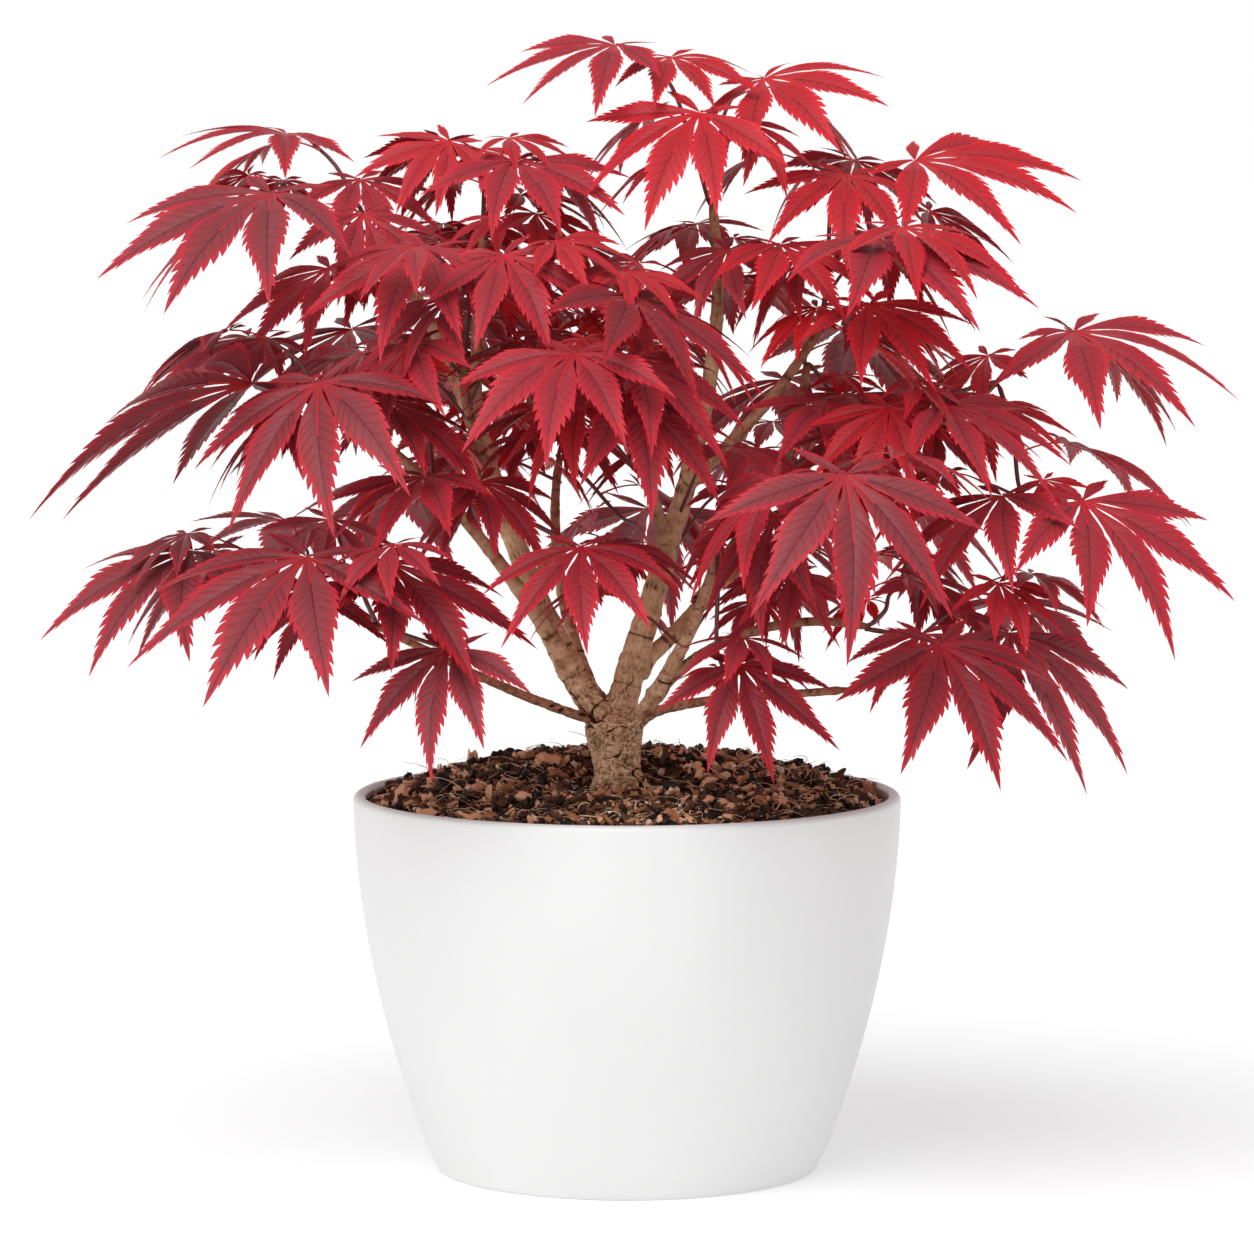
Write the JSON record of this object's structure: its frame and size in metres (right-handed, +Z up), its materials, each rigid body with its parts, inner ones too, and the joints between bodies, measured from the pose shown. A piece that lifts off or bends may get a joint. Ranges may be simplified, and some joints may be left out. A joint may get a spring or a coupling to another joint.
{
  "type": "potted red japanese maple",
  "caption": "Young red-leaved japanese maple in a round tapered white pot: a short trunk forks into open boughs that carry layered sprays of drooping seven-lobed leaves.",
  "frame": {"origin": "middle of the pot's flat underside", "axes": "+Z up along the pot's axis, -Y towards the plant's face, +X to the right as seen from the front"},
  "size_m": [0.4985, 0.3711, 0.4796],
  "materials": {
    "pot": "satin white, smooth, slightly soft sheen",
    "soil": "coarse moist potting mix of dark bark chips and fibre with a few pale grains",
    "bark": "grey-brown young bark, matt, ringed at the nodes",
    "leaf": "thin matt leaves, dusky wine red with brighter red edges and veins"
  },
  "bodies": {
    "root": {"pot": "pot", "soil": "soil", "trunk": "bark", "left_leader": "bark", "centre_leader": "bark", "right_low_stem": "bark", "left_back_stem": "bark", "low_left_bough": "bark", "left_arm": "bark", "left_front_bough": "bark", "front_low_bough": "bark", "left_stem": "bark", "back_left_bough": "bark", "centre_front_bough": "bark", "right_inner_stem": "bark", "right_upper_bough": "bark", "right_far_bough": "bark", "back_right_bough": "bark", "right_side_bough": "bark", "low_right_bough": "bark", "top_left_spray": "leaf", "upper_left_spray": "leaf", "left_shoulder_spray": "leaf", "left_outer_spray": "leaf", "left_front_spray": "leaf", "left_mid_spray": "leaf", "low_left_outer_spray": "leaf", "low_left_front_spray": "leaf", "low_left_inner_spray": "leaf", "front_left_upper_spray": "leaf", "front_left_spray": "leaf", "front_left_low_spray": "leaf", "centre_front_spray": "leaf", "centre_face_spray": "leaf", "centre_upper_spray": "leaf", "centre_low_spray": "leaf", "top_mid_left_spray": "leaf", "top_mid_spray": "leaf", "crown_tip_spray": "leaf", "crown_front_spray": "leaf", "crown_right_spray": "leaf", "upper_right_spray": "leaf", "upper_right_front_spray": "leaf", "mid_right_spray": "leaf", "inner_right_spray": "leaf", "far_right_spray": "leaf", "right_outer_spray": "leaf", "right_mid_spray": "leaf", "right_low_outer_spray": "leaf", "right_low_inner_spray": "leaf", "low_right_front_spray": "leaf", "right_front_spray": "leaf", "right_face_spray": "leaf", "low_centre_spray": "leaf", "back_left_spray": "leaf", "back_left_low_spray": "leaf", "back_centre_spray": "leaf", "back_centre_low_spray": "leaf", "back_right_spray": "leaf", "back_right_low_spray": "leaf"}
  },
  "joints": []
}
